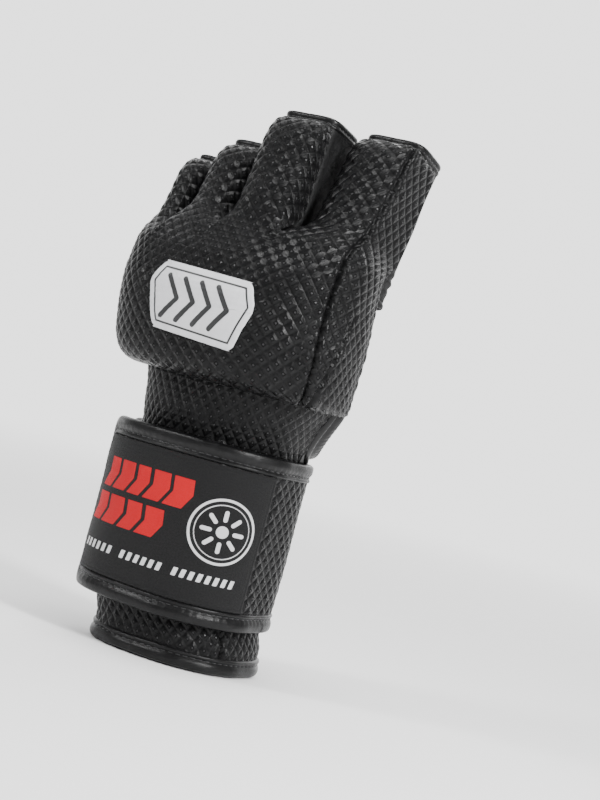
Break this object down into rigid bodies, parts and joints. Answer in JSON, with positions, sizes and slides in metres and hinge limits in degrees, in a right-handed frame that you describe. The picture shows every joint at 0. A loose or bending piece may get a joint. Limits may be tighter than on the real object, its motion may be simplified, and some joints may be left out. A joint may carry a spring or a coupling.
{
  "type": "mma glove",
  "caption": "Left-hand fingerless training glove with a padded knuckle block, curling finger stalls, an oval thumb opening and a wrap-round wrist strap.",
  "frame": {"origin": "centre of the glove's box in X and Y, at the underside of the cuff hem", "axes": "+Z from the cuff to the fingertips, +X to the thumb side, -Y out of the back of the hand"},
  "size_m": [0.1116, 0.0981, 0.245],
  "materials": {
    "embossed_leather": "satin, embossed",
    "smooth_leather": "semi-gloss",
    "sleeve_leather": "satin",
    "padding_foam": "matt",
    "impact_foam": "matt",
    "lining_fabric": "matt",
    "emblem_print": "satin",
    "label_weave": "matt",
    "hook_tape": "matt",
    "loop_tape": "matt"
  },
  "bodies": {
    "hand": {"back_shell": "embossed_leather", "knuckle_foam": "padding_foam", "impact_layer": "impact_foam", "back_panel": "embossed_leather", "thumb_gusset": "embossed_leather", "pinky_gusset": "embossed_leather", "palm_panel": "smooth_leather", "thumb_hole_piping": "smooth_leather", "hand_lining": "lining_fabric", "cuff_shell": "embossed_leather", "cuff_foam": "padding_foam", "cuff_lining": "lining_fabric", "cuff_hem_binding": "smooth_leather", "knuckle_emblem": "emblem_print", "loop_patch": "loop_tape", "strap_anchor_panel": "embossed_leather", "strap_anchor_top_binding": "smooth_leather", "strap_anchor_bottom_binding": "smooth_leather"},
    "strap_side": {"strap_side_panel": "embossed_leather", "strap_side_top_binding": "smooth_leather", "strap_side_bottom_binding": "smooth_leather"},
    "strap_flap": {"strap_flap_panel": "embossed_leather", "strap_flap_top_binding": "smooth_leather", "strap_flap_bottom_binding": "smooth_leather", "strap_flap_end_binding": "smooth_leather", "woven_label": "label_weave", "hook_patch": "hook_tape"},
    "pinky_stall": {"pinky_pad_shell": "embossed_leather", "pinky_pad_foam": "padding_foam", "pinky_sleeve": "sleeve_leather", "pinky_sleeve_hem": "sleeve_leather", "pinky_lining": "lining_fabric"},
    "ring_stall": {"ring_pad_shell": "embossed_leather", "ring_pad_foam": "padding_foam", "ring_sleeve": "sleeve_leather", "ring_sleeve_hem": "sleeve_leather", "ring_lining": "lining_fabric"},
    "middle_stall": {"middle_pad_shell": "embossed_leather", "middle_pad_foam": "padding_foam", "middle_sleeve": "sleeve_leather", "middle_sleeve_hem": "sleeve_leather", "middle_lining": "lining_fabric"},
    "index_stall": {"index_pad_shell": "embossed_leather", "index_pad_foam": "padding_foam", "index_sleeve": "sleeve_leather", "index_sleeve_hem": "sleeve_leather", "index_lining": "lining_fabric"}
  },
  "joints": [
    {"name": "strap_fold", "type": "hinge", "parent": "hand", "child": "strap_side", "pos_m": [0.02083, 0.04356, 0.0585], "axis": [0, 0, 1], "range_deg": [0, 52]},
    {"name": "strap_open", "type": "hinge", "parent": "strap_side", "child": "strap_flap", "pos_m": [0.03718, 0.00841, 0.0585], "axis": [0, 0, 1], "range_deg": [0, 115]},
    {"name": "pinky_curl", "type": "hinge", "parent": "hand", "child": "pinky_stall", "pos_m": [-0.0445, 0.0088, 0.17], "axis": [-1, 0, 0], "range_deg": [0, 45], "stiffness_Nm_per_rad": 0.15},
    {"name": "ring_curl", "type": "hinge", "parent": "hand", "child": "ring_stall", "pos_m": [-0.02175, 0.0038, 0.1795], "axis": [-1, 0, 0], "range_deg": [0, 45], "stiffness_Nm_per_rad": 0.15},
    {"name": "middle_curl", "type": "hinge", "parent": "hand", "child": "middle_stall", "pos_m": [0.00625, -0.0022, 0.183], "axis": [-1, 0, 0], "range_deg": [0, 45], "stiffness_Nm_per_rad": 0.15},
    {"name": "index_curl", "type": "hinge", "parent": "hand", "child": "index_stall", "pos_m": [0.03675, 0.0128, 0.1825], "axis": [-1, 0, 0], "range_deg": [0, 45], "stiffness_Nm_per_rad": 0.15}
  ],
  "couplings": [
    {"joint": "strap_fold", "follows": "strap_open", "ratio": 0.45}
  ]
}
